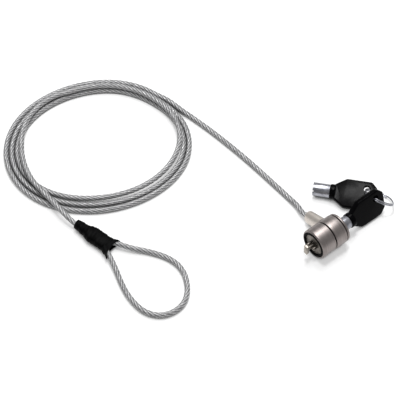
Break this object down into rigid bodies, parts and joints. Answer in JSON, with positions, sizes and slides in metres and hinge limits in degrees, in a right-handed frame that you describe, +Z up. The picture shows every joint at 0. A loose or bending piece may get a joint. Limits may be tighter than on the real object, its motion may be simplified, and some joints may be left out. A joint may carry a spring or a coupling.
{
  "type": "laptop cable lock",
  "caption": "Laptop cable lock: cylindrical lock head with a T-bar and swivel cable lug, tubular keys on a split ring, and a coiled coated wire rope ending in a sleeved loop.",
  "frame": {"origin": "under the middle of the lock, its keys and their ring, on the surface that they lie on", "axes": "+Y along the lock's axis from the T-bar to the key, +Z up, the cable leaves to -X"},
  "size_m": [0.2245, 0.1803, 0.02],
  "materials": {
    "satin_nickel": "satin nickel plate",
    "bright_steel": "bright plated steel",
    "cast_zinc": "plain cast zinc",
    "pin_brass": "turned brass",
    "crimp_aluminium": "pressed aluminium",
    "coated_rope": "steel strands under a clear coat",
    "black_plastic": "moulded black, half gloss",
    "shrink_sleeve": "matt black shrink tube",
    "black_rubber": "matt black",
    "dark_washer": "dark plastic"
  },
  "bodies": {
    "cable_side": {"swivel_collar": "satin_nickel", "cable_ferrule": "crimp_aluminium", "cable_lead": "coated_rope", "cable_coil": "coated_rope", "cable_tail": "coated_rope", "loop_sleeve": "shrink_sleeve", "loop_ferrule": "crimp_aluminium", "cable_loop": "coated_rope"},
    "lock_body": {"front_housing": "satin_nickel", "front_ring": "black_rubber", "front_plate": "cast_zinc", "core_sleeve": "cast_zinc", "housing_pin": "bright_steel", "front_washer": "dark_washer", "rear_washer": "dark_washer", "rear_collar": "satin_nickel", "retaining_ring": "bright_steel", "stator": "pin_brass", "stator_pin": "bright_steel", "pin_spring_1": "bright_steel", "pin_spring_2": "bright_steel", "pin_spring_3": "bright_steel", "pin_spring_4": "bright_steel", "pin_spring_5": "bright_steel", "pin_spring_6": "bright_steel", "pin_spring_7": "bright_steel", "pin_spring_8": "bright_steel"},
    "spindle": {"lock_spindle": "bright_steel", "rotor": "pin_brass"},
    "key_pins": {"key_pin_1": "pin_brass", "key_pin_2": "pin_brass", "key_pin_3": "pin_brass", "key_pin_4": "pin_brass", "key_pin_5": "pin_brass", "key_pin_6": "pin_brass", "key_pin_7": "pin_brass", "key_pin_8": "pin_brass"},
    "driver_pins": {"driver_pin_1": "pin_brass", "driver_pin_2": "pin_brass", "driver_pin_3": "pin_brass", "driver_pin_4": "pin_brass", "driver_pin_5": "pin_brass", "driver_pin_6": "pin_brass", "driver_pin_7": "pin_brass", "driver_pin_8": "pin_brass"},
    "key": {"key_barrel": "bright_steel", "key_head": "black_plastic"},
    "ring": {"split_ring": "bright_steel"},
    "spare_key": {"spare_key_barrel": "bright_steel", "spare_key_head": "black_plastic"}
  },
  "joints": [
    {"name": "body_swivel", "type": "hinge", "parent": "cable_side", "child": "lock_body", "pos_m": [0.01468, -0.03087, 0.01], "axis": [0, 1, 0], "continuous": true},
    {"name": "spindle_turn", "type": "hinge", "parent": "lock_body", "child": "spindle", "pos_m": [0.01468, -0.03087, 0.01], "axis": [0, 1, 0], "range_deg": [0, 90]},
    {"name": "key_slide", "type": "slide", "parent": "spindle", "child": "key", "axis": [0, 1, 0], "range_m": [0, 0.012]},
    {"name": "key_pin_slide", "type": "slide", "parent": "spindle", "child": "key_pins", "axis": [0, 1, 0], "range_m": [0, 0.0012]},
    {"name": "driver_pin_slide", "type": "slide", "parent": "lock_body", "child": "driver_pins", "axis": [0, 1, 0], "range_m": [0, 0.0012]},
    {"name": "ring_swing", "type": "hinge", "parent": "key", "child": "ring", "pos_m": [0.01319, 0.02153, 0.01456], "axis": [0.9511, 0, 0.309], "range_deg": [-60, 120]},
    {"name": "spare_key_swing", "type": "hinge", "parent": "ring", "child": "spare_key", "pos_m": [0.00196, 0.02714, 0.00727], "axis": [0.1641, -0.2639, 0.9505], "range_deg": [-60, 0]}
  ],
  "couplings": [
    {"joint": "key_pin_slide", "follows": "key_slide", "ratio": 0.1},
    {"joint": "driver_pin_slide", "follows": "key_slide", "ratio": 0.1}
  ]
}
